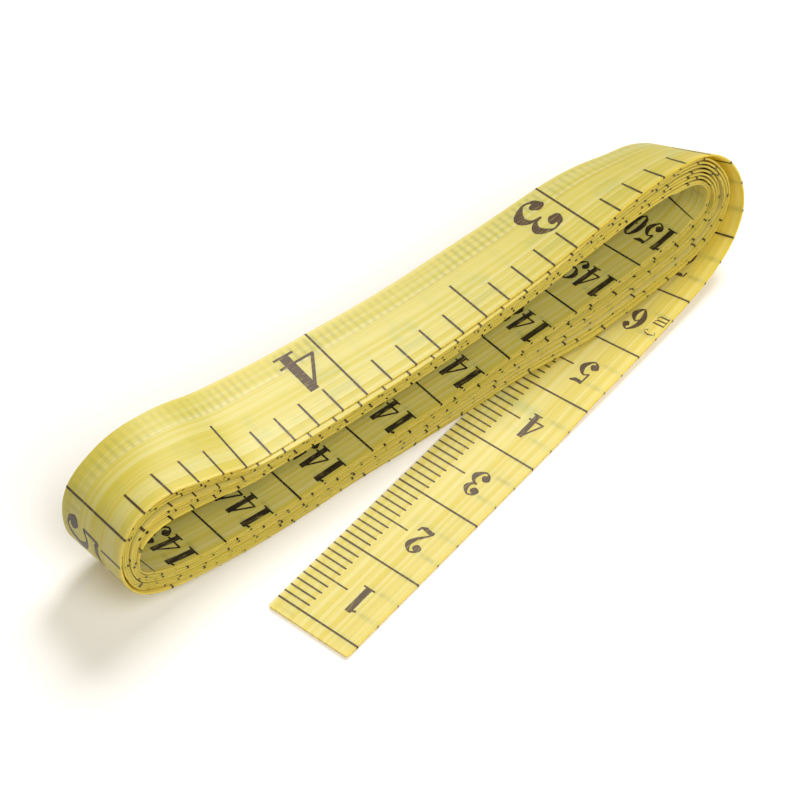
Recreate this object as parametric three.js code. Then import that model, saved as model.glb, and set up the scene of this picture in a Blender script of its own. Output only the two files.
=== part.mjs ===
// A tailor's tape measure: one thin, narrow strip wound into a flat oval coil, with its
// zero end drawn out of the coil and lying on the table. Millimetres, +Z up. +X runs along
// the coil, the strip's width lies along +Y inside the coil, and the origin is the centre
// of the whole part's footprint, on the table.
import * as THREE from 'three';
import { mergeVertices } from 'three/addons/utils/BufferGeometryUtils.js';

// The strip: woven cloth with a plastic coat on both faces, cut square at both ends.
const tape = {
  width: 10.5,
  thickness: 0.25,
  cornerRadius: 0.8,      // the worn corners of the zero end
  blankBeforeZero: 1.6,   // bare strip ahead of the zero line
};

// The coil, in sizes of the outermost turn's outer face.
const coil = {
  loops: 8,
  layerGap: 0.43,         // clear space from a layer to the next one in
  length: 88,
  rightHeight: 16.6,      // over the bend that the tail leads into
  leftHeight: 17.2,
  waistSag: 3.8,          // how far the top layers sink between the bends
  tailRise: 0.05,         // lift of the lowest layer where it sets off, twisted, into its bend
  riseStart: 24,          // where that lift starts, along X from the coil's middle
  stepStart: -22,         // where each bottom run starts to step in over the layer below
  stepEnd: -2,            // where it has stepped in by one whole layer
  innerCurl: 120,         // degrees that the inner end curls up inside the right-hand bend
};

// The free tail, drawn out under the coil's front edge.
const tail = {
  length: 64.4,           // from the zero line to the start of its bend
  angle: 10.3,            // degrees between the tail and the coil, in plan
  forward: 5.7,           // how far forward of the coil's middle its bend starts
  settle: 26,             // strip length over which it draws level with the coil
};

// The part of the tail that lifts off the table, in equal spans that hinge on one another.
const lift = {
  start: 33,              // from the zero line to the hinge nearest the coil
  gap: 0.3,               // open line between two spans, at a hinge
  names: ['tail_inner_span', 'tail_middle_span', 'tail_tip'],
};

// Stations along each stretch of the strip.
const steps = { bend: 12, topRun: 14, bottomRun: 12, tailRun: 9, corner: 5 };

const yellow = new THREE.Color(0.9, 0.79, 0.28);
const finish = { color: yellow, roughness: 0.38, metalness: 0 };

const pitch = tape.thickness + coil.layerGap;
const halfThickness = tape.thickness / 2;
const halfWidth = tape.width / 2;
const tailAngle = THREE.MathUtils.degToRad(tail.angle);
const tailDirection = new THREE.Vector3(Math.cos(tailAngle), Math.sin(tailAngle), 0);
const coilAxis = new THREE.Vector3(0, 1, 0);

const smooth = (x, low, high) => THREE.MathUtils.smoothstep(x, low, high);

// The closed outline that the strip's mid-surface follows in its outermost turn, seen along
// the coil's axis: two round bends, a top that sinks between them, and a flat bottom.
const right = { low: halfThickness + coil.tailRise, high: coil.rightHeight - halfThickness };
const left = { low: halfThickness, high: coil.leftHeight - halfThickness };
for (const bend of [right, left]) {
  bend.radius = (bend.high - bend.low) / 2;
  bend.z = (bend.high + bend.low) / 2;
}
right.x = coil.length / 2 - halfThickness - right.radius;
left.x = -(coil.length / 2 - halfThickness - left.radius);

const bottomHeight = (x) => halfThickness + coil.tailRise * smooth(x, coil.riseStart, right.x);

function topHeight(x) {
  const share = (x - left.x) / (right.x - left.x);
  const sag = coil.waistSag * Math.sin(Math.PI * share) ** 2;
  return left.high + (right.high - left.high) * smooth(share, 0, 1) - sag;
}

// A point of a run at height(x), moved in by depth along the run's own normal.
function runPoint(x, height, depth, inward) {
  const probe = tape.thickness;
  const slope = (height(x + probe) - height(x - probe)) / (probe + probe);
  const normal = new THREE.Vector2(-slope, 1).normalize().multiplyScalar(depth * inward);
  return new THREE.Vector2(x + normal.x, height(x) + normal.y);
}

// A point of a bend, at an angle from straight down, moved in by depth.
function bendPoint(bend, angle, depth) {
  const radius = bend.radius - depth;
  return new THREE.Vector2(bend.x + radius * Math.sin(angle), bend.z - radius * Math.cos(angle));
}

// The coil's stations in its own plane, loop by loop from the outside in, and the inner end.
function coilStations() {
  const stations = [];
  const span = right.x - left.x;
  for (let turn = 0; turn < coil.loops; turn += 1) {
    const depth = pitch * turn;
    for (let i = 0; i < steps.bend; i += 1) {
      stations.push(bendPoint(right, Math.PI * i / steps.bend, depth));
    }
    for (let i = 0; i < steps.topRun; i += 1) {
      stations.push(runPoint(right.x - span * i / steps.topRun, topHeight, depth, -1));
    }
    for (let i = 0; i < steps.bend; i += 1) {
      stations.push(bendPoint(left, Math.PI * (1 + i / steps.bend), depth));
    }
    for (let i = 0; i < steps.bottomRun; i += 1) {
      const x = left.x + span * i / steps.bottomRun;
      const stepped = depth + pitch * smooth(x, coil.stepStart, coil.stepEnd);
      stations.push(runPoint(x, bottomHeight, stepped, 1));
    }
  }
  const curlSteps = Math.round(steps.bend * THREE.MathUtils.degToRad(coil.innerCurl) / Math.PI);
  for (let i = 0; i <= curlSteps; i += 1) {
    stations.push(bendPoint(right, Math.PI * i / steps.bend, pitch * coil.loops));
  }
  return stations;
}

// A point on the table line of the tail, a distance along the strip from the zero line.
function tailPoint(distance) {
  const start = new THREE.Vector3(right.x, -tail.forward, 0);
  const point = start.addScaledVector(tailDirection, distance - tail.length);
  return point.setZ(bottomHeight(point.x));
}

// How far to the side of the coil's middle the strip lies, a length past the end of the tail.
// A cubic: it sets off at the tail's own slope and ends level, without a kink at either end.
function sideways(travelled) {
  const share = Math.min(travelled / tail.settle, 1);
  const startSlope = Math.sin(tailAngle) * tail.settle / tail.forward;
  return -tail.forward * (1 - share) ** 2 * (1 + (2 - startSlope) * share);
}

// The whole fixed stretch: out from the last hinge, along the table, and round the coil.
function stripRoute() {
  const route = [];
  const first = lift.start + lift.gap / 2;
  for (let i = 0; i < steps.tailRun; i += 1) {
    route.push(tailPoint(first + (tail.length - first) * i / steps.tailRun));
  }
  let travelled = 0;
  let last = null;
  for (const flat of coilStations()) {
    travelled += last ? flat.distanceTo(last) : 0;
    route.push(new THREE.Vector3(flat.x, sideways(travelled), flat.y));
    last = flat;
  }
  return route;
}

// The strip's own axes at each point of its route: across it and out of its face.
// Across is the coil's axis, turned just enough to stay square to the route.
function stripFrames(route) {
  return route.map((point, i) => {
    const before = route[Math.max(i - 1, 0)];
    const after = route[Math.min(i + 1, route.length - 1)];
    const along = after.clone().sub(before).normalize();
    const across = coilAxis.clone().addScaledVector(along, -coilAxis.dot(along)).normalize();
    const out = new THREE.Vector3().crossVectors(along, across);
    return { point, across, out };
  });
}

// A closed solid of the strip: four corners at each station, four sides, and two cut ends.
function stripGeometry(frames) {
  const corners = [[-1, -1], [1, -1], [1, 1], [-1, 1]];
  const positions = [];
  for (const { point, across, out } of frames) {
    for (const [side, face] of corners) {
      const corner = point.clone()
        .addScaledVector(across, side * halfWidth)
        .addScaledVector(out, face * halfThickness);
      positions.push(corner.x, corner.y, corner.z);
    }
  }
  const sides = corners.length;
  const index = [0, 2, 1, 0, 3, 2];
  for (let i = 0; i < frames.length - 1; i += 1) {
    for (let j = 0; j < sides; j += 1) {
      const a = i * sides + j;
      const b = i * sides + (j + 1) % sides;
      index.push(a, b, a + sides, b, b + sides, a + sides);
    }
  }
  const end = (frames.length - 1) * sides;
  index.push(end, end + 1, end + 2, end, end + 2, end + 3);
  const geometry = new THREE.BufferGeometry();
  geometry.setAttribute('position', new THREE.Float32BufferAttribute(positions, 3));
  geometry.setIndex(index);
  geometry.computeVertexNormals();
  return geometry;
}

// A flat span of the tail, lying from low to high along +X, with its hinge end at high.
function spanGeometry(low, high, cornerRadius) {
  const outline = new THREE.Shape();
  outline.moveTo(high, -halfWidth);
  outline.lineTo(high, halfWidth);
  if (cornerRadius > 0) {
    outline.lineTo(low + cornerRadius, halfWidth);
    outline.absarc(low + cornerRadius, halfWidth - cornerRadius, cornerRadius, Math.PI / 2, Math.PI);
    outline.absarc(low + cornerRadius, cornerRadius - halfWidth, cornerRadius, Math.PI, 1.5 * Math.PI);
  } else {
    outline.lineTo(low, halfWidth);
    outline.lineTo(low, -halfWidth);
  }
  outline.closePath();
  const options = { depth: tape.thickness, bevelEnabled: false, curveSegments: steps.corner };
  const solid = new THREE.ExtrudeGeometry(outline, options);
  solid.deleteAttribute('normal');
  solid.deleteAttribute('uv');
  return mergeVertices(solid);
}

// The least clear space between two layers of the coil, measured in its own plane from
// each face point of one layer to the faces of every other stretch that is not its neighbour.
function leastGapToItself(frames) {
  const faces = [-1, 1].map((face) => frames.map(({ point, out }) => {
    const corner = point.clone().addScaledVector(out, face * halfThickness);
    return new THREE.Vector2(corner.x, corner.z);
  }));
  const near = Math.ceil(steps.bend / 2);
  let least = Infinity;
  for (const own of faces) {
    own.forEach((corner, i) => {
      for (const other of faces) {
        for (let j = 0; j < other.length - 1; j += 1) {
          if (Math.abs(i - j) > near && Math.abs(i - j - 1) > near) {
            const edge = other[j + 1].clone().sub(other[j]);
            const share = corner.clone().sub(other[j]).dot(edge) / edge.lengthSq();
            const foot = other[j].clone().addScaledVector(edge, THREE.MathUtils.clamp(share, 0, 1));
            least = Math.min(least, foot.distanceTo(corner));
          }
        }
      }
    });
  }
  return least;
}

function routeLength(route) {
  return route.slice(1).reduce((sum, point, i) => sum + point.distanceTo(route[i]), 0);
}

function named(name, geometry) {
  const mesh = new THREE.Mesh(geometry, new THREE.MeshStandardMaterial(finish));
  mesh.name = name;
  return mesh;
}

// The spans that lift, from the one beside the coil out to the zero end.
function tailSpans() {
  const spanLength = lift.start / lift.names.length;
  return lift.names.map((name, i) => {
    const atTip = i === lift.names.length - 1;
    const high = lift.start - spanLength * i;
    const low = atTip ? -tape.blankBeforeZero : high - spanLength + lift.gap / 2;
    const mesh = named(name, spanGeometry(low - high, -lift.gap / 2, atTip ? tape.cornerRadius : 0));
    mesh.position.copy(tailPoint(high).setZ(0));
    mesh.rotation.z = tailAngle;
    return mesh;
  });
}

const route = stripRoute();
const frames = stripFrames(route);

const part = new THREE.Group();
part.add(named('wound_tape', stripGeometry(frames)), ...tailSpans());

// The origin goes to the middle of the footprint, on the table.
part.updateMatrixWorld(true);
const box = new THREE.Box3().setFromObject(part, true);
const centre = box.getCenter(new THREE.Vector3());
part.position.set(-centre.x, -centre.y, -box.min.z);

const size = box.getSize(new THREE.Vector3());
const stripLength = tape.blankBeforeZero + lift.start + routeLength(route);
const listed = (vector) => vector.toArray().map((value) => value.toFixed(4)).join(', ');
console.log(`least gap to itself ${leastGapToItself(frames).toFixed(3)} mm`);
console.log(`strip length ${stripLength.toFixed(1)} mm`);
console.log(`overall ${listed(size)} mm, lowest ${box.min.z.toFixed(4)} mm`);
console.log(`middle of the coil's width at y ${(-centre.y).toFixed(4)} mm`);
lift.names.forEach((name, i) => {
  const hinge = tailPoint(lift.start * (1 - i / lift.names.length)).sub(centre);
  console.log(`${name} hinge ${listed(hinge.setZ(halfThickness - box.min.z))}`);
});

export default part;
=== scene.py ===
import logging
from dataclasses import dataclass
from enum import Enum

import bpy
import numpy as np
from mathutils import Matrix, Vector


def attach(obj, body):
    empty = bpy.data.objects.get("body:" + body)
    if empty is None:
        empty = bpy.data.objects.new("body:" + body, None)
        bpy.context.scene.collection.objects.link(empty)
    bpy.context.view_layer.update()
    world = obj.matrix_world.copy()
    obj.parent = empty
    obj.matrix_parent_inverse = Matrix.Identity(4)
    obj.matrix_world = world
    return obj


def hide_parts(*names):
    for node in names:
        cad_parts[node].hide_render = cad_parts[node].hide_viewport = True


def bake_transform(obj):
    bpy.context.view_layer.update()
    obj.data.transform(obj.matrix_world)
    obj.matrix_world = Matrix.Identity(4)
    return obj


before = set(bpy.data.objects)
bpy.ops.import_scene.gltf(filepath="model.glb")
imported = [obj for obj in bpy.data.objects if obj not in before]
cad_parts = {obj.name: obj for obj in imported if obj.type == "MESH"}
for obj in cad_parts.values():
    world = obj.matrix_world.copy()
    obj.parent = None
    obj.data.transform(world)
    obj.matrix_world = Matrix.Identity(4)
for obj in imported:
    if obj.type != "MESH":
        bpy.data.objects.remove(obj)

log = logging.getLogger("tape_measure")

MM = 0.001
SEED = 41
Array = np.ndarray
Piece = bpy.types.Object
Row = tuple[float, ...]
Span = tuple[float, float]
Triple = tuple[float, float, float]
Socket = bpy.types.NodeSocket


class Scale(Enum):
    """The two printed faces: centimetres inside the coil, the coarser scale outside."""

    CENTIMETRE = 1
    THIRD = -1


@dataclass(frozen=True)
class TapeSize:
    """The strip's own sizes, in millimetres, and where it is cut finer near its two ends."""

    width: float = 10.5
    thickness: float = 0.225
    corner: float = 0.05
    end_radius: float = 0.3
    end_cuts: Row = (0.06, 0.15, 0.3, 0.5)
    blank_before_zero: float = 1.6
    length_from_zero: float = 1510.0
    station: float = 0.7
    least_step: float = 0.1


@dataclass(frozen=True)
class Knot:
    """One point of the loop that the strip follows, in millimetres and degrees.

    side, yaw and pitch are the sideways place and lean of the outer turn's width, inner_side and
    inner_pitch those of the turns inside it.
    """

    x: float
    z: float
    side: float
    yaw: float
    pitch: float
    inner_side: float
    inner_pitch: float


LOOP = tuple(Knot(*row) for row in (
    (31.35, 0.87, 2.16, 0, -8.3, 8, -8.5),
    (34.59, 1.06, 2.75, 0, -10.4, 8, -9.4),
    (37.84, 1.6, 3.4, 0, -12.6, 8.05, -10),
    (40.85, 2.72, 4.16, 3, -15, 8.1, -11),
    (43.02, 5, 5.15, 7, -17.4, 8.2, -12),
    (43.56, 8.06, 6.26, 7.7, -19.6, 8.3, -12),
    (42.49, 11.03, 7.24, 5.1, -23.5, 8.35, -12),
    (40.01, 12.95, 7.89, 1.1, -26.5, 8.4, -14),
    (36.92, 13.7, 8.32, -2.3, -24.3, 8.45, -18),
    (33.63, 13.86, 8.54, -3.8, -21.8, 8.55, -18),
    (30.3, 13.9, 8.71, -4.4, -16.8, 8.6, -15.5),
    (23.73, 13.4, 8.88, -3.5, -9, 8.65, -9),
    (17.14, 12.43, 9.01, -2.1, -5, 8.7, -5),
    (10.5, 11.75, 9.11, -1.2, -1.5, 8.75, -1.5),
    (3.85, 11.26, 9.2, -1.3, 0.3, 8.8, 0.3),
    (-2.82, 11.15, 9.27, -1.3, 1.9, 8.8, 1.9),
    (-9.47, 11.3, 9.38, -1.6, 3.8, 8.85, 3.8),
    (-16.11, 11.55, 9.48, -0.4, 5.9, 8.85, 5.9),
    (-22.72, 12.35, 9.33, 0.1, 10, 8.8, 10),
    (-25.92, 13.14, 9.14, 0, 11.3, 8.75, 11),
    (-29.05, 14.45, 8.95, 0, 9, 8.7, 11),
    (-32.28, 15.4, 8.81, 0.5, 4.6, 8.65, 8.7),
    (-35.59, 15.85, 8.79, 0.8, -3, 8.65, 3),
    (-38.86, 15.2, 8.8, 0.2, -8, 8.6, -3),
    (-41.45, 13.4, 8.65, -0.6, -9.5, 8.6, -7),
    (-42.75, 10.35, 8.3, -1.6, -9.7, 8.6, -8),
    (-42.6, 7.4, 8, -2, -10, 8.6, -8),
    (-41.4, 5, 7.95, -2, -9.5, 8.65, -7),
    (-39.3, 3.2, 8, -1.5, -7.5, 8.7, -5),
    (-36.3, 2.05, 8.1, -1, -5, 8.75, -3.5),
    (-32, 1.2, 8.2, 0, -2.5, 8.8, -2),
    (-27, 0.55, 8.2, 0, -1, 8.85, -1),
    (-21.5, 0.22, 8.2, 0, 0, 8.85, 0),
    (-12, 0.12, 8.2, 0, 0, 8.8, 0),
    (0, 0.11, 8.3, 0, 0, 8.7, 0),
    (6, 0.13, 8.4, 0, -0.3, 8.6, -0.3),
    (11.67, 0.37, 8.43, 0, -2.8, 8.4, -2.8),
    (18.2, 0.47, 8.3, 0, -3.9, 8.15, -5),
    (24.8, 0.57, 8.2, 0, -5.2, 8, -6.8),
))


def ease(value: Array, start: float | Array, end: float | Array) -> Array:
    """Ease from 0 to 1: t²(3 − 2t), where t goes evenly from 0 at start to 1 at end.

    Args:
        value: Any array.
        start: Value at which it is 0.
        end: Value at which it is 1, above or below start.

    Returns:
        The eased array.
    """
    t = np.clip((value - start) / (end - start), 0, 1)
    return t * t * (3.0 - 2.0 * t)


@dataclass(frozen=True)
class Zone:
    """A part of the coil that comes in along x and z, from nothing at each span's start, in mm."""

    x: Span
    z: Span

    def share(self, x: Array, z: Array) -> Array:
        """How far inside the zone each point is, from 0 to 1."""
        return ease(x, *self.x) * ease(z, *self.z)


@dataclass(frozen=True)
class TailLine:
    """The straight zero end: a point on it, its distance from zero, and its direction in plan."""

    x: float = 4.7799
    y: float = -2.6714
    from_zero: float = 33.0
    degrees: float = 10.3
    turns: float = 0.42
    lean_x: Span = (4.0, 14.0)
    rise_x: Span = (3.0, 15.0)


@dataclass(frozen=True)
class Winding:
    """How the turns lie inside each other, in millimetres, in turns, or in shares of a gap.

    A span says where something comes in: nothing at its start, all of it at its end. gaps are from
    turn to turn, ledges the turns' sideways places in the upper run. slack widens the gaps, draw
    pulls the turns in along x at the bends, fan slides the inner ones sideways, wander moves all a
    little, curl bends the inner end inwards, and step_x is where a turn passes to the next.

    give is how much longer the strip is than its printed scale, spread over give_span. It brings
    the inner numbers to their places in the photograph, instead of room in the hidden layers.
    """

    turns: float = 9.2
    raw_step: float = 0.12
    gaps: Row = (0.28, 0.24, 0.24, 0.35, 0.24, 0.24, 0.35, 0.24)
    ledges: Row = (0, 0, 0.04, 0.08, 0.46, 0.5, 0.54, 0.95, 1)
    ledge_z: Span = (6, 9)
    inner_turns: Span = (0.6, 0.92)
    closing_side: float = 8.2
    bottom_turn: float = 0.62
    step_x: Span = (-22, -2)
    slack_below: float = 0.12
    below_z: Span = (6, 0)
    slack_left: float = 0.5
    slack_left_x: Span = (-42.5, -34.5)
    slack_right: float = 0.2
    slack_right_x: Span = (20, 32)
    draw_from: float = 34
    draw_to: float = 43.4
    draw_left: float = 0.02
    draw_right: float = 0.1
    draw_right_once: float = 0.22
    curl: float = 0.55
    curl_turns: Span = (9.02, 9.09)
    fan: float = 0.45
    fan_middle: float = 7.5
    fan_fall: float = 0.113
    fan_left: float = 0.5
    fan_right: float = 0.9
    fan_low: float = 0.65
    upper_left: Zone = Zone((-18, -32), (5, 13))
    lower_left: Zone = Zone((-4, -16), (7, 3))
    lower_right: Zone = Zone((6, 22), (13.5, 8.5))
    wander: float = 0.03
    wander_turns: Span = (0.7, 1)
    give: float = 14.2
    give_span: Span = (210, 1400)


def cubic(knots: Array, values: Array, bend: Array, at: Array) -> Array:
    """Cubic pieces through values, from their second derivatives at the knots.

    Args:
        knots: Rising parameters of the values.
        values: One row for each knot.
        bend: The second derivatives, one row for each knot.
        at: Parameters to read it at.

    Returns:
        One row for each parameter in at.
    """
    i = np.clip(np.searchsorted(knots, at, side="right") - 1, 0, len(knots) - 2)
    step = (knots[i + 1] - knots[i])[:, None]
    a = (knots[i + 1] - at)[:, None] / step
    b = 1.0 - a
    curve = (a**3 - a) * bend[i] + (b**3 - b) * bend[i + 1]
    return a * values[i] + b * values[i + 1] + curve * step**2 / 6.0


class PeriodicSpline:
    """Closed curve of period 1 through given values: slopes and bends agree at every knot."""

    def __init__(self, knots: Array, values: Array) -> None:
        """Solve the second derivatives once.

        Args:
            knots: Rising parameters of the values, the first 0.
            values: One row for each knot.
        """
        self.knots = np.append(knots, 1)
        self.values = np.vstack([values, values[:1]])
        count = len(knots)
        step = np.diff(self.knots)
        before = np.roll(step, 1)
        rise = np.diff(self.values, axis=0) / step[:, None]
        rows = np.arange(count)
        matrix = np.zeros((count, count))
        matrix[rows, rows] = 2.0 * (before + step)
        matrix[rows, (rows + 1) % count] = step
        matrix[rows, rows - 1] = before
        bend = np.linalg.solve(matrix, 6.0 * (rise - np.roll(rise, 1, axis=0)))
        self.bend = np.vstack([bend, bend[:1]])

    def at(self, t: Array) -> Array:
        """Values at parameters, wrapped round the period.

        Args:
            t: Parameters.

        Returns:
            One row for each parameter.
        """
        return cubic(self.knots, self.values, self.bend, np.mod(t, 1))


class Strip:
    """The whole tape as one curved strip, addressed by distance from zero and place across it."""

    def __init__(self, size: TapeSize, winding: Winding, tail: TailLine) -> None:
        """Trace the route and keep evenly spaced stations with their own axes.

        Args:
            size: The strip's sizes.
            winding: How the turns lie.
            tail: The straight zero end.
        """
        self.size = size
        self.winding = winding
        self.tail = tail
        self._trace()

    def _knot_parameters(self) -> tuple[Array, float]:
        """Chord length along the loop's knots in the plane of x and z, scaled to a period of 1."""
        points = np.array([(k.x, k.z) for k in LOOP])
        chord = np.hypot(*(np.roll(points, -1, axis=0) - points).T)
        total = chord.sum()
        return np.concatenate([[0], np.cumsum(chord)[:-1]]) / total, total

    def _steps(self, turn: Array, x: Array) -> Array:
        """Turns passed: one more each time the bottom run goes along step_x."""
        w = self.winding
        whole = np.floor(turn)
        ramp = np.where(turn - whole > w.bottom_turn, ease(x, *w.step_x), 0)
        return np.maximum(whole + ramp, 0)

    def _depth(self, steps: Array) -> Array:
        """Distance inside the outer turn: the gaps between turns added up."""
        gaps = np.array(self.winding.gaps + self.winding.gaps[-1:] * 3)
        return np.interp(steps, np.arange(len(gaps) + 1), np.concatenate([[0], np.cumsum(gaps)]))

    @staticmethod
    def _drift(turn: Array) -> Array:
        """Sideways wander along the strip: twelve sine waves of seeded heights and phases."""
        heights, phases = np.random.default_rng(SEED).uniform(-1, 1, (2, 12))
        along = turn[:, None] * np.arange(1.3, 7.3, 0.5) * np.pi + phases * np.pi
        return (np.sin(along) * heights).sum(axis=1)

    def _fan(self, steps: Array, x: Array, z: Array) -> Array:
        """Sideways slide of each turn: less the higher it lies, and more or less by zone."""
        w = self.winding
        last = len(w.gaps)
        even = (np.clip(steps, 1, last) - 1) / (last - 1)
        stepped = np.interp(steps, np.arange(len(w.ledges)), w.ledges)
        passed = even + (stepped - even) * ease(z, *w.ledge_z)
        wide = w.fan - w.fan_fall * (z - w.fan_middle)
        wide += w.fan_right * w.lower_right.share(x, z) - w.fan_low * w.lower_left.share(x, z)
        return wide * (passed - 1) - w.fan_left * w.upper_left.share(x, z) * passed

    def _side(self, loop: PeriodicSpline, turn: Array, x: Array) -> Array:
        """Sideways place of the outer turn, which goes on from the tail's straight line."""
        tail, tiny = self.tail, 1e-4
        slope = np.tan(np.radians(tail.degrees))
        start = slope * (loop.at(np.array([tiny]))[0, 0] - LOOP[0].x) / tiny
        values = np.array([k.side for k in LOOP] + [self.winding.closing_side])
        side = clamped_spline(loop.knots, values, start, 0, np.clip(turn, 0, 1))
        return np.where(turn < 0, tail.y + (x - tail.x) * slope, side)

    def _drawn_in(self, place: Array, depth: Array, steps: Array) -> Array:
        """Pull the turns in along x at both bends, each a little more than the one outside it."""
        w = self.winding
        x, y, z = place.T
        on_left = x < 0.0
        draw = np.where(on_left, w.draw_left, w.draw_right) * steps
        draw += np.where(on_left, 0, w.draw_right_once) * np.minimum(steps, 1)
        beyond = ease(np.abs(x), w.draw_from, w.draw_to - depth)
        return np.stack([x - np.sign(x) * draw * beyond, y, z], axis=1)

    def _trace(self) -> None:
        """Work out the route and the axes at every station.

        The loop is a closed spline through the knots. The strip runs backwards from the first knot
        along the loop's bottom as the straight tail, and forwards turn by turn, each turn offset
        inwards along the strip's own face by the depth. Two passes settle that face's direction.
        """
        size, w, tail = self.size, self.winding, self.tail
        at, total = self._knot_parameters()
        table = [(k.x, k.z, k.yaw, k.pitch, k.inner_side, k.inner_pitch) for k in LOOP]
        loop = PeriodicSpline(at, np.array(table))
        turn = np.arange(-tail.turns, w.turns, w.raw_step / total)
        x, z, yaw, pitch, inner_side, inner_pitch = loop.at(turn).T
        on_tail = turn < 0.0
        inner = ease(turn, *w.inner_turns)
        steps = self._steps(turn, x)

        twist = yaw * (1.0 - inner)
        lean = pitch + (inner_pitch - pitch) * np.clip(steps / (len(w.gaps) - 1), 0, 1)
        lean = np.where(on_tail, lean * ease(x, *tail.lean_x), lean)
        resting = size.thickness / 2 + np.abs(np.sin(np.radians(lean))) * size.width / 2
        raised = np.where(on_tail, ease(x, *tail.rise_x), 1)
        z = resting + np.maximum(z - resting, 0) * raised

        y = self._side(loop, turn, x) * (1.0 - inner) + inner_side * inner
        y += w.wander * self._drift(turn) * ease(turn, *w.wander_turns)
        y += self._fan(steps, x, z) * inner

        looser = 1.0 + w.slack_below * ease(z, *w.below_z)
        looser += w.slack_left * w.upper_left.share(x, z) * ease(x, *w.slack_left_x)
        depth = self._depth(steps) * looser + w.curl * ease(turn, *w.curl_turns)
        depth += w.slack_right * ease(x, *w.slack_right_x) * np.minimum(steps, 1)
        route = place = np.stack([x, y, z], axis=1)
        for _ in range(2):
            tangent = unit(np.gradient(place, axis=0))
            inward = np.cross(tangent, self._across(tangent, twist, lean))
            place = self._drawn_in(route + inward * depth[:, None], depth, steps)

        chord = np.linalg.norm(np.diff(place, axis=0), axis=1)
        length = np.concatenate([[0], np.cumsum(chord)])
        length -= np.interp(tail.x, place[on_tail, 0], length[on_tail]) - tail.from_zero
        length -= np.interp(length, w.give_span, (0, w.give))
        count = int((size.length_from_zero + size.blank_before_zero) / size.station)
        self.s = np.linspace(-size.blank_before_zero, size.length_from_zero, count + 1)
        self.place = columns(self.s, length, place)
        tangent = unit(np.gradient(self.place, axis=0))
        yaw, pitch = (np.interp(self.s, length, angle) for angle in (twist, lean))
        self.across = self._across(tangent, yaw, pitch)
        self.inward = np.cross(tangent, self.across)

    @staticmethod
    def _across(tangent: Array, yaw: Array, pitch: Array) -> Array:
        """Width direction: the leaning sideways direction made square to the tangent."""
        a, p = np.radians(yaw), np.radians(pitch)
        guide = np.stack([-np.sin(a) * np.cos(p), np.cos(a) * np.cos(p), np.sin(p)], axis=1)
        return unit(guide - (guide * tangent).sum(axis=1)[:, None] * tangent)

    def at(self, s: Array, v: Array, height: Array | float) -> Array:
        """Points of the strip, in metres.

        Args:
            s: Distance from zero along the strip, in mm.
            v: Distance across it from its front edge, in mm.
            height: Distance from its middle plane towards the centimetre face, in mm.

        Returns:
            One row for each point.
        """
        kept = (self.place, self.across, self.inward)
        place, across, inward = (columns(s, self.s, rows) for rows in kept)
        height = np.broadcast_to(height, s.shape)
        sideways = (v - self.size.width / 2)[:, None]
        return (place + across * sideways + inward * height[:, None]) * MM


def unit(v: Array) -> Array:
    """Rows scaled to length 1."""
    return v / np.linalg.norm(v, axis=1)[:, None]


def columns(at: Array, knots: Array, values: Array) -> Array:
    """Each column of values read at new parameters, by straight lines between the knots.

    Args:
        at: New parameters.
        knots: Rising parameters of the values.
        values: One row for each knot.

    Returns:
        One row for each new parameter.
    """
    return np.stack([np.interp(at, knots, column) for column in values.T], axis=1)


def clamped_spline(knots: Array, values: Array, start: float, end: float, at: Array) -> Array:
    """Cubic spline through values with its slope given at both ends.

    Args:
        knots: Rising parameters.
        values: One value for each knot.
        start: Slope at the first knot.
        end: Slope at the last knot.
        at: Parameters to read it at.

    Returns:
        One value for each parameter in at.
    """
    count = len(knots)
    step = np.diff(knots)
    rise = np.diff(values) / step
    matrix = np.zeros((count, count))
    right = np.zeros(count)
    matrix[0, :2] = 2 * step[0], step[0]
    right[0] = 6 * (rise[0] - start)
    matrix[-1, -2:] = step[-1], 2 * step[-1]
    right[-1] = 6 * (end - rise[-1])
    rows = np.arange(1, count - 1)
    matrix[rows, rows - 1] = step[:-1]
    matrix[rows, rows] = 2 * (step[:-1] + step[1:])
    matrix[rows, rows + 1] = step[1:]
    right[1:-1] = 6 * np.diff(rise)
    bend = np.linalg.solve(matrix, right)
    return cubic(knots, values[:, None], bend[:, None], at)[:, 0]


HAIRLINE = 0.045
STEM_SHARE = 0.6
UPRIGHT = 0.5


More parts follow.
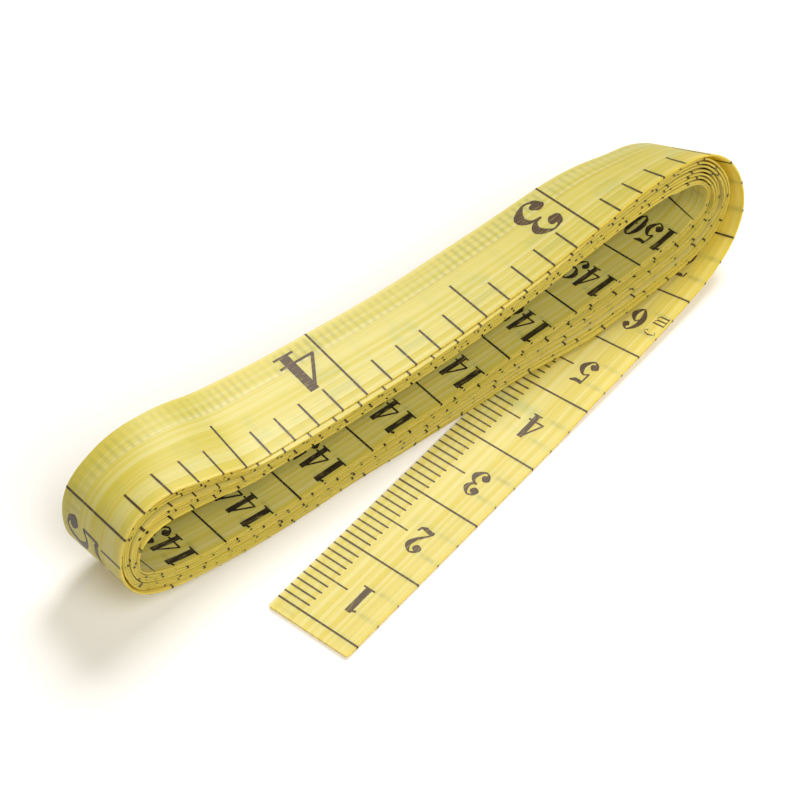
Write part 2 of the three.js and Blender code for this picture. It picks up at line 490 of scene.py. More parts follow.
@dataclass(frozen=True)
class Stroke:
    """One pen stroke of a sign: (across, up, thickness) points in hundredths of its height."""

    points: tuple[Triple, ...]
    per_span: int = 4

    def outline(self, scale: float, weight: float) -> Array:
        """Left and right edges along the stroke, in shares of the sign's height.

        The centre line is a curve through the points whose slope at each is half the chord between
        its neighbours, and the edges stand half the thickness off it on both sides. No stroke is
        thinner than HAIRLINE, and those steeper than UPRIGHT take STEM_SHARE of the widening.

        Args:
            scale: Widening of the sign across its height.
            weight: Thickening of its strokes.

        Returns:
            Array of stations by two edges by (across, up).
        """
        p = np.array(self.points) / 100.0
        if len(p) == 2:
            path = p
        else:
            slope = np.gradient(p, axis=0)
            if np.allclose(p[0, :2], p[-1, :2]):
                slope[0] = slope[-1] = (p[1] - p[-2]) / 2
            t = np.arange(self.per_span * (len(p) - 1) + 1) / self.per_span
            i = np.minimum(t.astype(int), len(p) - 2)
            u = (t - i)[:, None]
            path = (
                (2 * u**3 - 3 * u**2 + 1) * p[i]
                + (u**3 - 2 * u**2 + u) * slope[i]
                + (3 * u**2 - 2 * u**3) * p[i + 1]
                + (u**3 - u**2) * slope[i + 1]
            )
        centre = path[:, :2] * [scale, 1]
        along = np.gradient(centre, axis=0)
        along /= np.linalg.norm(along, axis=1)[:, None]
        normal = np.stack([-along[:, 1], along[:, 0]], axis=1)
        upright = np.abs(normal[:, :1]) > UPRIGHT
        stem = np.where(upright, 1.0 + STEM_SHARE * (scale - 1), 1)
        half = np.maximum(path[:, 2:3], HAIRLINE) * weight / 2 * stem
        return np.stack([centre + normal * half, centre - normal * half], axis=1)


def oval(x: float, y: float, wide: float, high: float, thick: float, thin: float) -> Stroke:
    """Closed oval stroke, thick at its sides and thin at its top and foot.

    Args:
        x: Middle across, in hundredths, as all of these.
        y: Middle up.
        wide: Half its centre line's width.
        high: Half its centre line's height.
        thick: Thickness at the sides.
        thin: Thickness at the top and foot.

    Returns:
        The stroke.
    """
    a = np.linspace(0, 2 * np.pi, 11)
    thickness = thin + (thick - thin) * np.sin(a) ** 2
    rows = np.stack([x + wide * np.sin(a), y + high * np.cos(a), thickness])
    return Stroke(tuple(tuple(row) for row in rows.T), 1)


SIX = (
    Stroke(((38, 69, 3), (39, 75, 14), (40, 83, 17), (38, 93, 6), (27, 97.5, 4), (11, 72, 11),
            (9, 35, 14), (25, 2.5, 4), (41, 29, 14), (26, 56, 4), (11, 42, 4))),
)
NUMERALS: dict[str, tuple[Stroke, ...]] = {
    "0": (oval(25, 50, 16.5, 47.5, 15, 4),),
    "1": (
        Stroke(((26, 0, 15), (26, 50, 15), (26, 100, 15)), 1),
        Stroke(((8, 2.2, 4.5), (44, 2.2, 4.5))),
        Stroke(((27, 97, 5), (18, 91, 5), (8, 86, 7)), 1),
    ),
    "2": (
        Stroke(((15, 64, 3), (14, 70, 16), (12, 79, 20), (12, 91, 7), (25, 97.5, 4.5),
            (40, 78, 13), (33, 52, 9), (14, 24, 4.5), (6, 7, 4))),
        Stroke(((5, 5, 5), (16, 10, 12), (33, 6, 12), (44, 9, 6), (47, 24, 3)), 1),
    ),
    "3": (
        Stroke(((15, 65, 3), (14, 71, 16), (12, 80, 20), (12, 92, 7), (25, 97.5, 4),
            (39, 77, 12), (33, 58, 6), (21, 53, 3.5))),
        Stroke(((21, 53, 3.5), (36, 47, 7), (42, 26, 14), (25, 2.5, 4), (12, 8, 7),
            (12, 20, 20), (13, 29, 16), (14, 35, 3))),
    ),
    "4": (
        Stroke(((34, 0, 13), (34, 50, 13), (34, 100, 13)), 1),
        Stroke(((20, 2.2, 4.5), (48, 2.2, 4.5))),
        Stroke(((33, 98, 4), (18, 63, 3.5), (3, 27, 3.5)), 1),
        Stroke(((1, 26, 5), (49, 26, 5))),
    ),
    "5": (
        Stroke(((10, 98, 3), (17, 91, 10), (31, 91, 12), (45, 99, 3)), 1),
        Stroke(((11, 97, 3), (10, 75, 3), (9, 52, 3)), 1),
        Stroke(((9, 52, 3), (25, 61, 5), (41, 33, 14), (25, 2.5, 4), (11, 7, 7), (11, 18, 21),
            (12, 27, 17), (13, 34, 3))),
    ),
    "6": SIX,
    "7": (
        Stroke(((5, 75, 3), (7, 93, 5), (19, 90, 12), (34, 92, 10), (46, 97, 3)), 1),
        Stroke(((45, 95, 3), (29, 52, 8), (21, 25, 14), (22, 3, 16)), 1),
    ),
    "8": (oval(25, 75, 13, 22.5, 11, 4), oval(25, 27, 16, 24.5, 13, 4.5)),
    "9": (Stroke(tuple((50 - x, 100 - y, wide) for x, y, wide in SIX[0].points)),),
    "c": (Stroke(((42, 72, 13), (38, 92, 5), (25, 97, 5), (8, 50, 14), (25, 3, 5), (43, 20, 4))),),
    "m": (
        Stroke(((14, 0, 13), (14, 100, 13))),
        *(Stroke(((x, 80, 4), (x + 18, 96, 5), (x + 30, 75, 12), (x + 30, 0, 13)), 1)
          for x in (16, 48)),
        Stroke(((4, 3, 5), (88, 3, 5))),
    ),
}


@dataclass(frozen=True)
class Marks:
    """One face's ticks: steps and widths in mm, and how far they reach in shares of the width."""

    step: float
    count: int
    line: float
    tick: float
    tick_share: float
    half_share: float


MARKS = {
    Scale.CENTIMETRE: Marks(1, 1500, 0.24, 0.21, 0.32, 0.49),
    Scale.THIRD: Marks(10.0 / 3.0, 450, 0.27, 0.26, 0.326, 0.573),
}


@dataclass(frozen=True)
class Lettering:
    """How signs are printed: their face, rightward and upward directions in (along, across),
    height in mm, widening, and thickening of the strokes.
    """

    face: Scale
    right: Span
    up: Span
    high: float
    scale: float
    weight: float


CENTIMETRES = Lettering(Scale.CENTIMETRE, (0, 1), (-1, 0), 3.75, 1.08, 1.25)
THIRDS = Lettering(Scale.THIRD, (1, 0), (0, -1), 5.6, 1.65, 1.15)
UNIT = Lettering(Scale.CENTIMETRE, (1, 0), (0, 1), 1.5, 1.2, 0.9)
UNIT_LETTERS = (("c", (53.3, 0.45)), ("m", (55.05, 0.25)))


@dataclass(frozen=True)
class PrintSizes:
    """Places of the numbers and sizes of the ink, in millimetres or in shares of width or height.

    The third fields are the coarser scale's: its numbers up to third_seen are cut third_fine times
    finer. Ink runs over the front edge at marked_share of the marks, and at all before marked_to.
    """

    edge_gap: float = 0.02
    over_edge: float = 0.012
    over_inset: float = 0.03
    marked_share: float = 0.5
    marked_to: float = 66.0
    numeral_along: float = 0.47
    numeral_across: float = 0.35
    numeral_across_step: float = 0.025
    numeral_advance: float = 0.53
    third_foot: float = 0.10
    third_after: float = 0.8
    third_five: float = 1.1
    third_advance: float = 0.98
    third_seen: int = 6
    third_fine: int = 4
    below: float = 0.004
    above: float = 0.014
    stroke_step: float = 0.002


def placed(name: str, data: bpy.types.ID) -> Piece:
    """A new object with its data, linked into the scene."""
    thing = bpy.data.objects.new(name, data)
    bpy.context.scene.collection.objects.link(thing)
    return thing


class Solid:
    """Loose parts gathered into one mesh, with the tape's own coordinates at each corner."""

    def __init__(self) -> None:
        """Start empty."""
        self.corners: list[Array] = []
        self.flat: list[Array] = []
        self.faces: list[Array] = []
        self.caps: list[Array] = []
        self.count = 0

    def tubes(self, corners: Array, flat: Array) -> None:
        """Add skins ring by ring, each with both ends closed.

        Args:
            corners: Array of skins by rings by corners by (x, y, z).
            flat: Array of skins by rings by corners by (along, across).
        """
        skins, rings, around, _ = corners.shape
        index = self.count + np.arange(skins * rings * around).reshape(skins, rings, around)
        here, there = index[:, :-1], index[:, 1:]
        quads = np.stack([here, np.roll(here, -1, 2), np.roll(there, -1, 2), there], axis=-1)
        self.faces.append(quads.reshape(-1, 4))
        self.caps += [*index[:, 0, ::-1], *index[:, -1]]
        self.corners.append(corners.reshape(-1, 3))
        self.flat.append(flat.reshape(-1, 2))
        self.count += index.size

    def build(self, name: str) -> Piece:
        """Make the object, with its UV map along and across the tape in metres.

        Args:
            name: The piece's name.

        Returns:
            The object, linked into the scene.
        """
        corners = np.vstack(self.corners)
        faces = [*np.vstack(self.faces).tolist(), *(cap.tolist() for cap in self.caps)]
        mesh = bpy.data.meshes.new(name)
        mesh.from_pydata(corners.tolist(), [], faces)
        mesh.update()
        flat = np.vstack(self.flat) * MM
        loops = np.empty(len(mesh.loops), dtype=np.int32)
        mesh.loops.foreach_get("vertex_index", loops)
        layer = mesh.uv_layers.new(name="Tape")
        layer.data.foreach_set("uv", flat[loops].astype(np.float32).ravel())
        return placed(name, mesh)


BAND_CORNERS = (1, 5, 7, 11)


@dataclass(frozen=True)
class Cloth:
    """A length of the strip as a closed band."""

    strip: Strip

    def _section(self) -> tuple[Array, Array]:
        """Corners round the band: share across it, and height off its middle plane in mm."""
        size = self.strip.size
        edge = size.corner / size.width
        across = np.array([edge, 0.25, 0.5, 0.75, 1.0 - edge])
        face = np.full(len(across), size.thickness / 2)
        share = np.concatenate([[0], across, [1], across[::-1]])
        return share, np.concatenate([[0], -face, [0], face])

    def build(self, name: str, start: float, end: float) -> Piece:
        """Sweep the band's section along the strip from start to end.

        Near the strip's own two ends the band narrows by r − √(r² − (r − d)²), which rounds its
        corners: d is the distance to the end and r the corner's radius.

        Args:
            name: The piece's name.
            start: Where it starts, in mm from zero.
            end: Where it ends, in mm from zero.

        Returns:
            The object.
        """
        strip, size = self.strip, self.strip.size
        inside = (strip.s > start + size.least_step) & (strip.s < end - size.least_step)
        fine = np.array(size.end_cuts)
        cuts = np.concatenate([strip.s[0] + fine, strip.s[-1] - fine])
        cuts = cuts[(cuts > start) & (cuts < end)]
        s = np.unique(np.concatenate([[start, end], strip.s[inside], cuts]))
        share, height = self._section()
        radius = size.end_radius
        gap = np.minimum(s - strip.s[0], strip.s[-1] - s)
        trim = radius - np.sqrt(np.maximum(radius**2 - np.maximum(radius - gap, 0) ** 2, 0))
        v = trim[:, None] + share[None, :] * (size.width - 2 * trim[:, None])
        grid_s = np.repeat(s[:, None], len(share), axis=1)
        grid_h = np.repeat(height[None, :], len(s), axis=0)
        corners = strip.at(grid_s.ravel(), v.ravel(), grid_h.ravel()).reshape(len(s), len(share), 3)
        solid = Solid()
        solid.tubes(corners[None], np.stack([grid_s, v], axis=-1)[None])
        piece = solid.build(name)
        self._shade(piece, len(s), len(share))
        return piece

    @staticmethod
    def _shade(piece: Piece, rings: int, around: int) -> None:
        """Smooth faces, with the four lengthwise corners and both cut ends kept sharp."""
        mesh = piece.data
        mesh.polygons.foreach_set("use_smooth", np.ones(len(mesh.polygons), dtype=bool))
        ends = np.empty((len(mesh.edges), 2), dtype=np.int32)
        mesh.edges.foreach_get("vertices", ends.ravel())
        place = ends % around
        same = (place[:, 0] == place[:, 1]) & np.isin(place[:, 0], BAND_CORNERS)
        ring = ends // around
        cut = (ring[:, 0] == ring[:, 1]) & np.isin(ring[:, 0], [0, rings - 1])
        sharp = mesh.attributes.new("sharp_edge", "BOOLEAN", "EDGE")
        sharp.data.foreach_set("value", same | cut)


@dataclass(frozen=True)
class Print:
    """The ink on both faces of a length of the strip."""

    strip: Strip
    sizes: PrintSizes

    def _heights(self, face: Scale) -> Span:
        """Bottom and top of the ink on one face, off the strip's middle plane."""
        half = self.strip.size.thickness / 2
        return face.value * (half - self.sizes.below), face.value * (half + self.sizes.above)

    def _boxes(self, solid: Solid, s: Array, half: Array, v: Array, heights: Span) -> None:
        """Boxes across the strip: one at each s, half wide each way, from v[:, 0] to v[:, 1].

        heights are off the middle plane, and the second is below the first on the outer face.
        """
        low, high = heights
        along = s[:, None] + half[:, None] * np.array([-1, 1, 1, -1, -1, 1, 1, -1])
        across = np.repeat(v, 4, axis=1)
        height = np.broadcast_to(np.array([low, low, high, high] * 2), along.shape)
        order = [7, 6, 5, 4, 3, 2, 1, 0] if high > low else [4, 5, 6, 7, 0, 1, 2, 3]
        along, across, height = (a[:, order] for a in (along, across, height))
        corners = self.strip.at(along.ravel(), across.ravel(), height.ravel())
        flat = np.stack([along, across], axis=-1).reshape(-1, 2, 4, 2)
        solid.tubes(corners.reshape(-1, 2, 4, 3), flat)

    def _ticks(self, solid: Solid, face: Scale, start: float, end: float) -> None:
        """One face's ticks, longer half way between numbers and right across at them.

        Some of them also run over the front edge.
        """
        z, size, marks = self.sizes, self.strip.size, MARKS[face]
        n = np.arange(marks.count + 1)
        s = n * marks.step
        full = n % 10 == 0
        share = np.where(n % 10 == 5, marks.half_share, marks.tick_share)
        far = np.where(full, size.width - z.edge_gap, size.width * share)
        v = np.stack([np.full(len(n), z.edge_gap), far], axis=1)
        if face is Scale.CENTIMETRE:
            v = size.width - v[:, ::-1]
        half = np.where(full, marks.line, marks.tick) / 2
        kept = (s > start) & (s < end)
        self._boxes(solid, s[kept], half[kept], v[kept], self._heights(face))

        inked = np.random.default_rng(SEED + len(n)).uniform(size=len(n)) < z.marked_share
        over = kept & (full | (face is Scale.THIRD)) & (inked | (s < z.marked_to))
        edge = np.tile([-z.over_edge, z.edge_gap + z.over_inset], (over.sum(), 1))
        thick = size.thickness / 2 - z.over_inset
        self._boxes(solid, s[over], half[over], edge, (-thick, thick))

    def _sign(self, solid: Solid, sign: str, style: Lettering, corner: Span, fine: int = 1) -> None:
        """One numeral or letter, its strokes laid on a face as thin slabs.

        A slab cut finer follows a tight bend, where the middle of a coarse one would sink into the
        cloth. Each further stroke stands stroke_step higher, so that crossing ones don't flicker.

        Args:
            solid: Mesh that it goes into.
            sign: The numeral or letter.
            style: How it is printed.
            corner: (along, across) of its lower left corner, in mm.
            fine: Cuts along each of a slab's steps, and across it.
        """
        low, high = self._heights(style.face)
        right, up = np.array([style.right, style.up]) * style.high
        share = np.linspace(0, 1, fine + 1)[None, :, None]
        for order, stroke in enumerate(NUMERALS[sign]):
            top = high + style.face.value * self.sizes.stroke_step * order
            edges = stroke.outline(style.scale, style.weight)
            step = np.arange(len(edges))
            cut = np.linspace(0, step[-1], fine * step[-1] + 1)
            left, other = (columns(cut, step, edges[:, side])[:, None] for side in (0, 1))
            rows = left + (other - left) * share
            flat = np.array(corner) + rows[..., :1] * right + rows[..., 1:] * up
            ring = np.concatenate([flat, flat[:, ::-1]], axis=1)
            height = np.broadcast_to(np.repeat([low, top], fine + 1), ring.shape[:2])
            corners = self.strip.at(ring[..., 0].ravel(), ring[..., 1].ravel(), height.ravel())
            solid.tubes(corners.reshape(1, *ring.shape[:2], 3), ring[None])

    def _numbers(self, solid: Solid, start: float, end: float) -> None:
        """Centimetre numbers, half way between their lines, reading towards the back edge."""
        z, style, marks = self.sizes, CENTIMETRES, MARKS[Scale.CENTIMETRE]
        wide = style.high * z.numeral_advance * style.scale
        for n in range(1, marks.count // 10 + 1):
            middle = 10.0 * marks.step * (n - 1 + z.numeral_along)
            if not start < middle < end:
                continue
            text = str(n)
            centre = z.numeral_across - z.numeral_across_step * (len(text) - 1)
            first = self.strip.size.width * centre - wide * len(text) / 2
            for i, sign in enumerate(text):
                self._sign(solid, sign, style, (middle + style.high / 2, first + wide * i))

    def _third_numbers(self, solid: Solid, start: float, end: float) -> None:
        """Numbers of the coarser scale, just past their lines, reading along the strip."""
        z, style, marks = self.sizes, THIRDS, MARKS[Scale.THIRD]
        foot = self.strip.size.width * (1.0 - z.third_foot)
        for n in range(1, marks.count // 10 + 1):
            line = 10.0 * marks.step * n
            if not start < line < end:
                continue
            fine = z.third_fine if n <= z.third_seen else 1
            for i, sign in enumerate(str(n)):
                after = z.third_after + z.third_advance * style.high * i
                after += z.third_five if sign == "5" else 0.0
                self._sign(solid, sign, style, (line + after, foot), fine)

    def build(self, name: str, start: float, end: float) -> Piece:
        """Print both faces from start to end.

        Args:
            name: The piece's name.
            start: Where it starts, in mm from zero.
            end: Where it ends, in mm from zero.

        Returns:
            The object.
        """
        solid = Solid()
        for face in Scale:
            self._ticks(solid, face, start, end)
        self._numbers(solid, start, end)
        self._third_numbers(solid, start, end)
        for sign, corner in UNIT_LETTERS:
            if start < corner[0] < end:
                self._sign(solid, sign, UNIT, corner)
        return solid.build(name)


@dataclass(frozen=True)
class Grain:
    """Noise drawn out along the tape: features a metre along and across it, its detail, the levels
    between which it comes in, and what it gives there.
    """

    along: float
    across: float
    detail: float
    levels: Span
    gives: Span = (0, 1)


class Nodes:
    """A material's node tree, with one-line ways to add nodes and feed them."""

    def __init__(self, name: str) -> None:
        """Start a material with no nodes.

        Args:
            name: The material's name.
        """
        self.material = bpy.data.materials.new(name)
        self.material.use_nodes = True
        self.tree = self.material.node_tree
        self.tree.nodes.clear()

    def add(self, kind: str, inputs: dict[str | int, object], **settings: object) -> bpy.types.Node:
        """A node with its inputs and settings.

        Args:
            kind: Its type, without the leading ShaderNode.
            inputs: By name or number, each a socket to join to it or a value.
            settings: Properties by name.

        Returns:
            The node.
        """
        node = self.tree.nodes.new("ShaderNode" + kind)
        for key, value in settings.items():
            setattr(node, key, value)
        for key, value in inputs.items():
            if isinstance(value, Socket):
                self.tree.links.new(value, node.inputs[key])
            else:
                node.inputs[key].default_value = value
        return node

    def finish(self, shader: bpy.types.Node) -> bpy.types.Material:
        """Join the last shader to the material's output, and hand the material over."""
        self.add("OutputMaterial", {"Surface": shader.outputs[0]})
        return self.material

    def tape(self) -> tuple[Socket, Socket, Socket]:
        """The tape's own coordinates in metres: both, along it, and across it."""
        uv = self.add("UVMap", {}, uv_map="Tape").outputs["UV"]
        split = self.add("SeparateXYZ", {0: uv})
        return uv, split.outputs["X"], split.outputs["Y"]

    def math(self, operation: str, *values: object) -> Socket:
        """The result of a Math node over numbers and sockets."""
        return self.add("Math", dict(enumerate(values)), operation=operation).outputs[0]

    def away(self, value: Socket, middle: object) -> Socket:
        """Distance of a value from another."""
        return self.math("ABSOLUTE", self.math("SUBTRACT", value, middle))

    def ramp(
        self, value: Socket, low: float, high: float, start: float = 0, end: float = 1
    ) -> Socket:
        """Value taken from low…high to start…end and held there, eased at both ends."""
        inputs = {"Value": value, "From Min": low, "From Max": high, "To Min": start, "To Max": end}
        return self.add("MapRange", inputs, interpolation_type="SMOOTHSTEP").outputs["Result"]

    def mix(self, share: Socket | float, a: object, b: object) -> Socket:
        """Mix two colours, each a socket or a linear colour."""
        a, b = (c if isinstance(c, Socket) else (*c, 1) for c in (a, b))
        return self.add("Mix", {"Factor": share, 6: a, 7: b}, data_type="RGBA").outputs[2]

    def grain(self, uv: Socket, grain: Grain) -> tuple[Socket, Socket]:
        """A grain's noise, and what it gives."""
        drawn = {"Scale": (grain.along, grain.across, 1), "Vector": uv}
        place = self.add("Mapping", drawn).outputs[0]
        noise = self.add("TexNoise", {"Vector": place, "Scale": 1, "Detail": grain.detail})
        fine = noise.outputs["Fac"]
        return fine, self.ramp(fine, *grain.levels, *grain.gives)


def linear(red: int, green: int, blue: int) -> Triple:
    """A screen colour from 0 to 255 as linear light."""
    c = np.array([red, green, blue]) / 255.0
    value = np.where(c <= 0.04045, c / 12.92, ((c + 0.055) / 1.055) ** 2.4)
    return tuple(value.tolist())


@dataclass(frozen=True)
class ClothFinish:
    """Yellow plastic-coated cloth: fine threads along it, gold rims, and some light let through.

    lines are the gold lines' places, in shares of the width. ghosts are the other face's marks that
    show through: step in metres, from and to in shares of the width, half width and strength.
    broken and patchy are how the two come and go. The soft spans are where edges fade out, in
    metres, ghost_soft in shares of the half width.
    """

    colour: Triple = linear(219, 210, 88)
    pale: Triple = linear(232, 229, 150)
    gold: Triple = linear(214, 186, 40)
    edge: Triple = linear(224, 206, 74)
    ghost: Triple = linear(142, 146, 78)
    through: Triple = linear(246, 215, 8)
    passing: float = 0.45
    tinted: float = 0.85
    roughness: float = 0.50
    specular: float = 0.9
    bump: float = 0.15
    bump_deep: float = 0.00004
    threads: Grain = Grain(14, 5200, 3, (0.6, 0.72), (0, 0.4))
    bands: Grain = Grain(9, 1500, 2, (0.35, 0.7))
    streaks: Grain = Grain(20, 3100, 2, (0.56, 0.68), (0, 0.5))
    broken: Grain = Grain(60, 300, 2, (0.35, 0.6), (0.15, 0.6))
    patchy: Grain = Grain(130, 300, 1, (0.35, 0.6), (0.35, 1.2))
    lines: Row = (0.12, 0.2, 0.33, 0.71)
    line_soft: Span = (0.00003, 0.00011)
    ghosts: tuple[Row, ...] = (
        (0.01 / 3, 0.05, 0.24, 0.00026, 0.24),
        (0.001, 0.7, 0.96, 0.00022, 0.26),
    )
    ghost_soft: Span = (0.4, 1.6)
    ghost_end_soft: Span = (-0.0003, 0.0001)
    width: float = 0.0105
    rim_soft: Span = (0.00012, 0.00002)

    def build(self) -> bpy.types.Material:
        """Make the material.

        Returns:
            The material.
        """
        n = Nodes("tape_coat")
        uv, along, across = n.tape()
        threads, gilt = n.grain(uv, self.threads)
        colour = n.mix(n.grain(uv, self.bands)[1], self.colour, self.pale)
        colour = n.mix(gilt, colour, self.gold)
        colour = n.mix(n.grain(uv, self.streaks)[1], colour, self.pale)
        broken = n.grain(uv, self.broken)[1]
        for place in self.lines:
            off = n.away(across, place * self.width)
            line = n.math("MULTIPLY", n.ramp(off, *self.line_soft, 1, 0), broken)
            colour = n.mix(line, colour, self.gold)
        patchy = n.grain(uv, self.patchy)[1]
        for step, low, high, half_width, strength in self.ghosts:
            turns = n.math("DIVIDE", along, step)
            off = n.away(turns, n.math("ROUND", turns))
            soft = (share * half_width / step for share in self.ghost_soft)
            bar = n.ramp(off, *soft, strength, 0)
            over = n.away(across, (low + high) / 2 * self.width)
            reach = ((high - low) / 2 * self.width + past for past in self.ghost_end_soft)
            bar = n.math("MULTIPLY", bar, n.ramp(over, *reach, 1, 0))
            colour = n.mix(n.math("MULTIPLY", bar, patchy), colour, self.ghost)
        half = self.width / 2
        rim = n.ramp(n.away(across, half), *(half - inset for inset in self.rim_soft))
        colour = n.mix(rim, colour, self.edge)
        relief = {"Strength": self.bump, "Distance": self.bump_deep, "Height": threads}
        coat = n.add("BsdfPrincipled", {
            "Base Color": colour,
            "Roughness": self.roughness,
            "Specular IOR Level": self.specular,
            "Normal": n.add("Bump", relief).outputs[0],
        })
        glow = n.add("BsdfTranslucent", {"Color": n.mix(self.tinted, colour, self.through)})
        shares = {"Fac": self.passing, 1: coat.outputs[0], 2: glow.outputs[0]}
        return n.finish(n.add("MixShader", shares))


@dataclass(frozen=True)
class InkFinish:
    """Black-brown printing ink, paler where the threads show through it.

    The paler ink of the outer turns gives way to the darker colour over a span given in metres from
    zero. This is painted shade: the ink is darkest on the inner turns, which lie shaded inside the
    coil.
    """

    colour: Triple = linear(34, 26, 10)
    lit: Triple = linear(74, 56, 34)
    worn: Triple = linear(138, 122, 66)
    roughness: float = 0.5
    specular: float = 0.35
    lit_span: Span = (0.9, 1.2)
    breaks: Grain = Grain(700, 5200, 2, (0.54, 0.7), (0, 0.75))

    def build(self) -> bpy.types.Material:
        """Make the material.

        Returns:
            The material.
        """
        n = Nodes("print_ink")
        uv, along, _ = n.tape()
        # Painted light and shade: paler ink on the outer turns and darker ink on the shaded inner
        # turns, set by distance along the strip.
        ink_with_painted_shade = n.mix(n.ramp(along, *self.lit_span, 1, 0), self.colour, self.lit)
        return n.finish(n.add("BsdfPrincipled", {
            "Base Color": n.mix(n.grain(uv, self.breaks)[1], ink_with_painted_shade, self.worn),
            "Roughness": self.roughness,
            "Specular IOR Level": self.specular,
        }))


@dataclass(frozen=True)
class Length:
    """One length of the strip: its name, the solid it stands for, where it starts and ends, the
    bodies it follows, how it is held, and between which places it bends.
    """

    name: str
    node: str
    start: float
    end: float
    bodies: tuple[str, ...]
    held: str
    bend: Span = (0, 0)


LENGTHS = (
    Length("tail_tip_tape", "tail_tip", -1.6, 17.5, ("tail_middle", "tip"), "laid", (15, 7)),
    Length("tail_middle_tape", "tail_middle_span", 17.5, 27.5, ("tail_inner", "tail_middle"),
           "laid", (25.5, 18.5)),
    Length("tail_inner_tape", "tail_inner_span", 27.5, 41.5, ("coil", "tail_inner"),
           "laid", (37, 29)),
    Length("coil_tape", "wound_tape", 41.5, 1510, ("coil",), "folded"),
)


class TapeMeasure:
    """The whole tape measure: its lengths of cloth, and the print on each."""

    def __init__(self, strip: Strip) -> None:
        """Keep the route and make the two finishes.

        Args:
            strip: The traced strip.
        """
        self.strip = strip
        self.coat = ClothFinish().build()
        self.ink = InkFinish().build()

    def _attach(self, piece: Piece, length: Length) -> None:
        """Ride on one body, or, for a length between two, keep its place, baked into its mesh."""
        if len(length.bodies) == 1:
            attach(piece, length.bodies[0])
            return
        s = np.array(length.bend)
        start, end = self.strip.at(s, np.full(2, self.strip.size.width / 2), 0)
        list(length.bodies)
        tuple(start)
        tuple(end)
        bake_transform(piece)

    def build(self) -> None:
        """Make, dress and place every length and its print."""
        cloth, prints = Cloth(self.strip), Print(self.strip, PrintSizes())
        for length in LENGTHS:
            tape = cloth.build(length.name, length.start, length.end)
            tape.data.materials.append(self.coat)
            ink = prints.build(length.name.replace("_tape", "_print"), length.start, length.end)
            ink.data.materials.append(self.ink)
            for piece in (tape, ink):
                self._attach(piece, length)
                log.info("%s: %d faces", piece.name, len(piece.data.polygons))
            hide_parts(length.node)


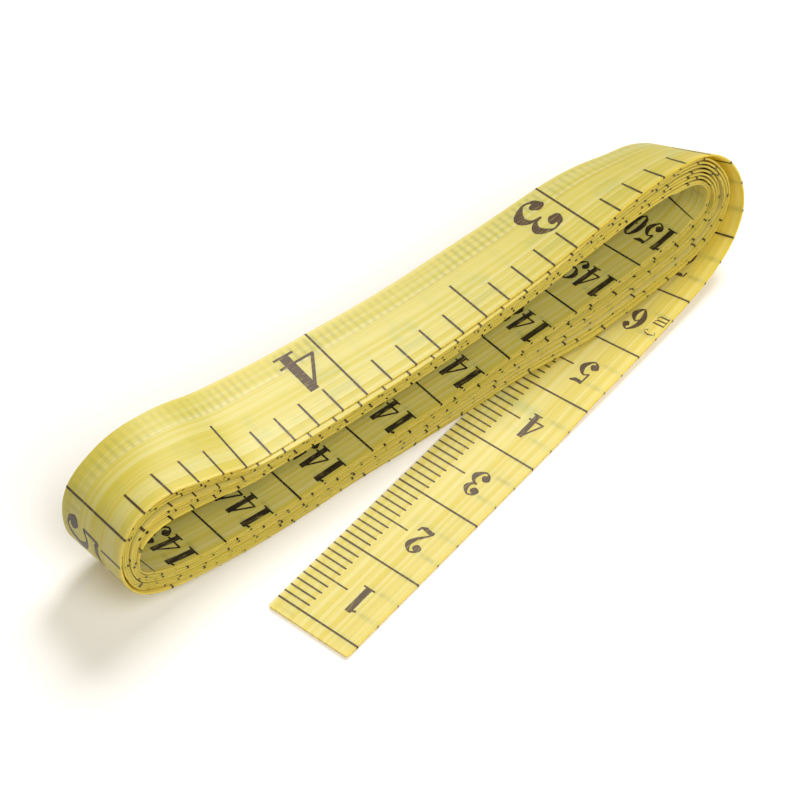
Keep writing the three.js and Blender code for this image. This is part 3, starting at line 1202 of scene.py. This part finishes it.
@dataclass(frozen=True)
class Studio:
    """Floor, lamps and camera, in metres, degrees and watts.

    floor_seen is the floor's level for the camera, just above white so that it clips, and floor_lit
    its level for the light that it throws back. shadow_warmth and shadow_colour are a warm glow
    that
    only the camera sees on the floor: painted light that warms its shadows.
    """

    look: Triple = (-0.0013, 0.008643, 0)
    distance: float = 0.273945
    lens: float = 111.637
    azimuth: float = 41.817
    elevation: float = 48.6305
    roll: float = 0.595
    sensor: float = 36.0
    nearest: float = 0.01
    world: float = 0.12
    floor_half: float = 2.0
    floor_low: float = -0.0002
    floor_seen: float = 0.66
    floor_lit: float = 0.8
    shadow_warmth: float = 0.16
    shadow_colour: Triple = (1, 0.72, 0.2)
    lamps: tuple[tuple[str, Triple, float, float], ...] = (
        ("right_lamp", (0.52, 0.22, 0.82), 0.38, 9.4),
        ("front_lamp", (-0.08, -0.58, 0.76), 0.5, 7.6),
        ("left_lamp", (-0.60, -0.30, 0.55), 0.5, 1.5),
    )

    def camera(self) -> None:
        """Place the camera by its angles, distance and roll about the point it looks at."""
        a, e, r = np.radians([self.azimuth, self.elevation, self.roll])
        forward = np.array([np.sin(a) * np.cos(e), np.cos(a) * np.cos(e), -np.sin(e)])
        flat_right = np.array([np.cos(a), -np.sin(a), 0])
        flat_up = np.cross(flat_right, forward)
        right = np.cos(r) * flat_right + np.sin(r) * flat_up
        up = -np.sin(r) * flat_right + np.cos(r) * flat_up
        data = bpy.data.cameras.new("camera")
        data.lens = self.lens
        data.sensor_width = self.sensor
        data.clip_start = self.nearest
        camera = placed("camera", data)
        place = np.array(self.look) - self.distance * forward
        turned = np.eye(4)
        turned[:3] = np.stack([right, up, -forward, place], axis=1)
        camera.matrix_world = Matrix(turned.tolist())
        bpy.context.scene.camera = camera

    def floor(self) -> None:
        """A wide pale floor that looks white to the camera and keeps the shadow, warmed by a
        painted glow.
        """
        mesh = bpy.data.meshes.new("floor")
        signs = ((-1, -1), (1, -1), (1, 1), (-1, 1))
        corners = [(x * self.floor_half, y * self.floor_half, self.floor_low) for x, y in signs]
        mesh.from_pydata(corners, [], [(0, 1, 2, 3)])
        floor = placed("floor", mesh)
        n = Nodes("floor_paper")
        path = n.add("LightPath", {})
        seen = n.math("MAXIMUM", path.outputs["Is Camera Ray"], path.outputs["Is Transmission Ray"])
        level = n.mix(seen, (self.floor_lit,) * 3, (self.floor_seen,) * 3)
        paper = n.add("BsdfDiffuse", {"Color": level})
        # Painted light: a warm glow that only the camera sees. It lifts and warms the floor's
        # shadows in place of light thrown off the yellow tape.
        strength = n.math("MULTIPLY", seen, self.shadow_warmth)
        painted_bounce_glow = n.add("Emission", {"Color": (*self.shadow_colour, 1), "Strength": strength})
        both = n.add("AddShader", {0: paper.outputs[0], 1: painted_bounce_glow.outputs[0]})
        mesh.materials.append(n.finish(both))

    def lamp(self, name: str, place: Triple, size: float, power: float) -> None:
        """A square soft lamp that faces the object.

        Args:
            name: Its name.
            place: Its place, in metres.
            size: Its side, in metres.
            power: Its power, in watts.
        """
        data = bpy.data.lights.new(name, "AREA")
        data.shape = "SQUARE"
        data.size = size
        data.energy = power
        turned = (-Vector(place)).to_track_quat("-Z", "Y").to_matrix().to_4x4()
        placed(name, data).matrix_world = Matrix.Translation(place) @ turned

    def build(self) -> None:
        """Set up the world, the lamps, the floor and the camera."""
        world = bpy.data.worlds.new("world")
        world.use_nodes = True
        sky = world.node_tree.nodes["Background"]
        sky.inputs["Color"].default_value = (1, 1, 1, 1)
        sky.inputs["Strength"].default_value = self.world
        bpy.context.scene.world = world
        bpy.context.scene.view_settings.view_transform = "Standard"
        for lamp in self.lamps:
            self.lamp(*lamp)
        self.floor()
        self.camera()


def main() -> None:
    """Build the tape measure and the studio, in order."""
    logging.basicConfig(level=logging.INFO)
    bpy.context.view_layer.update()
    Studio().build()
    TapeMeasure(Strip(TapeSize(), Winding(), TailLine())).build()


if __name__ == "__main__":
    main()
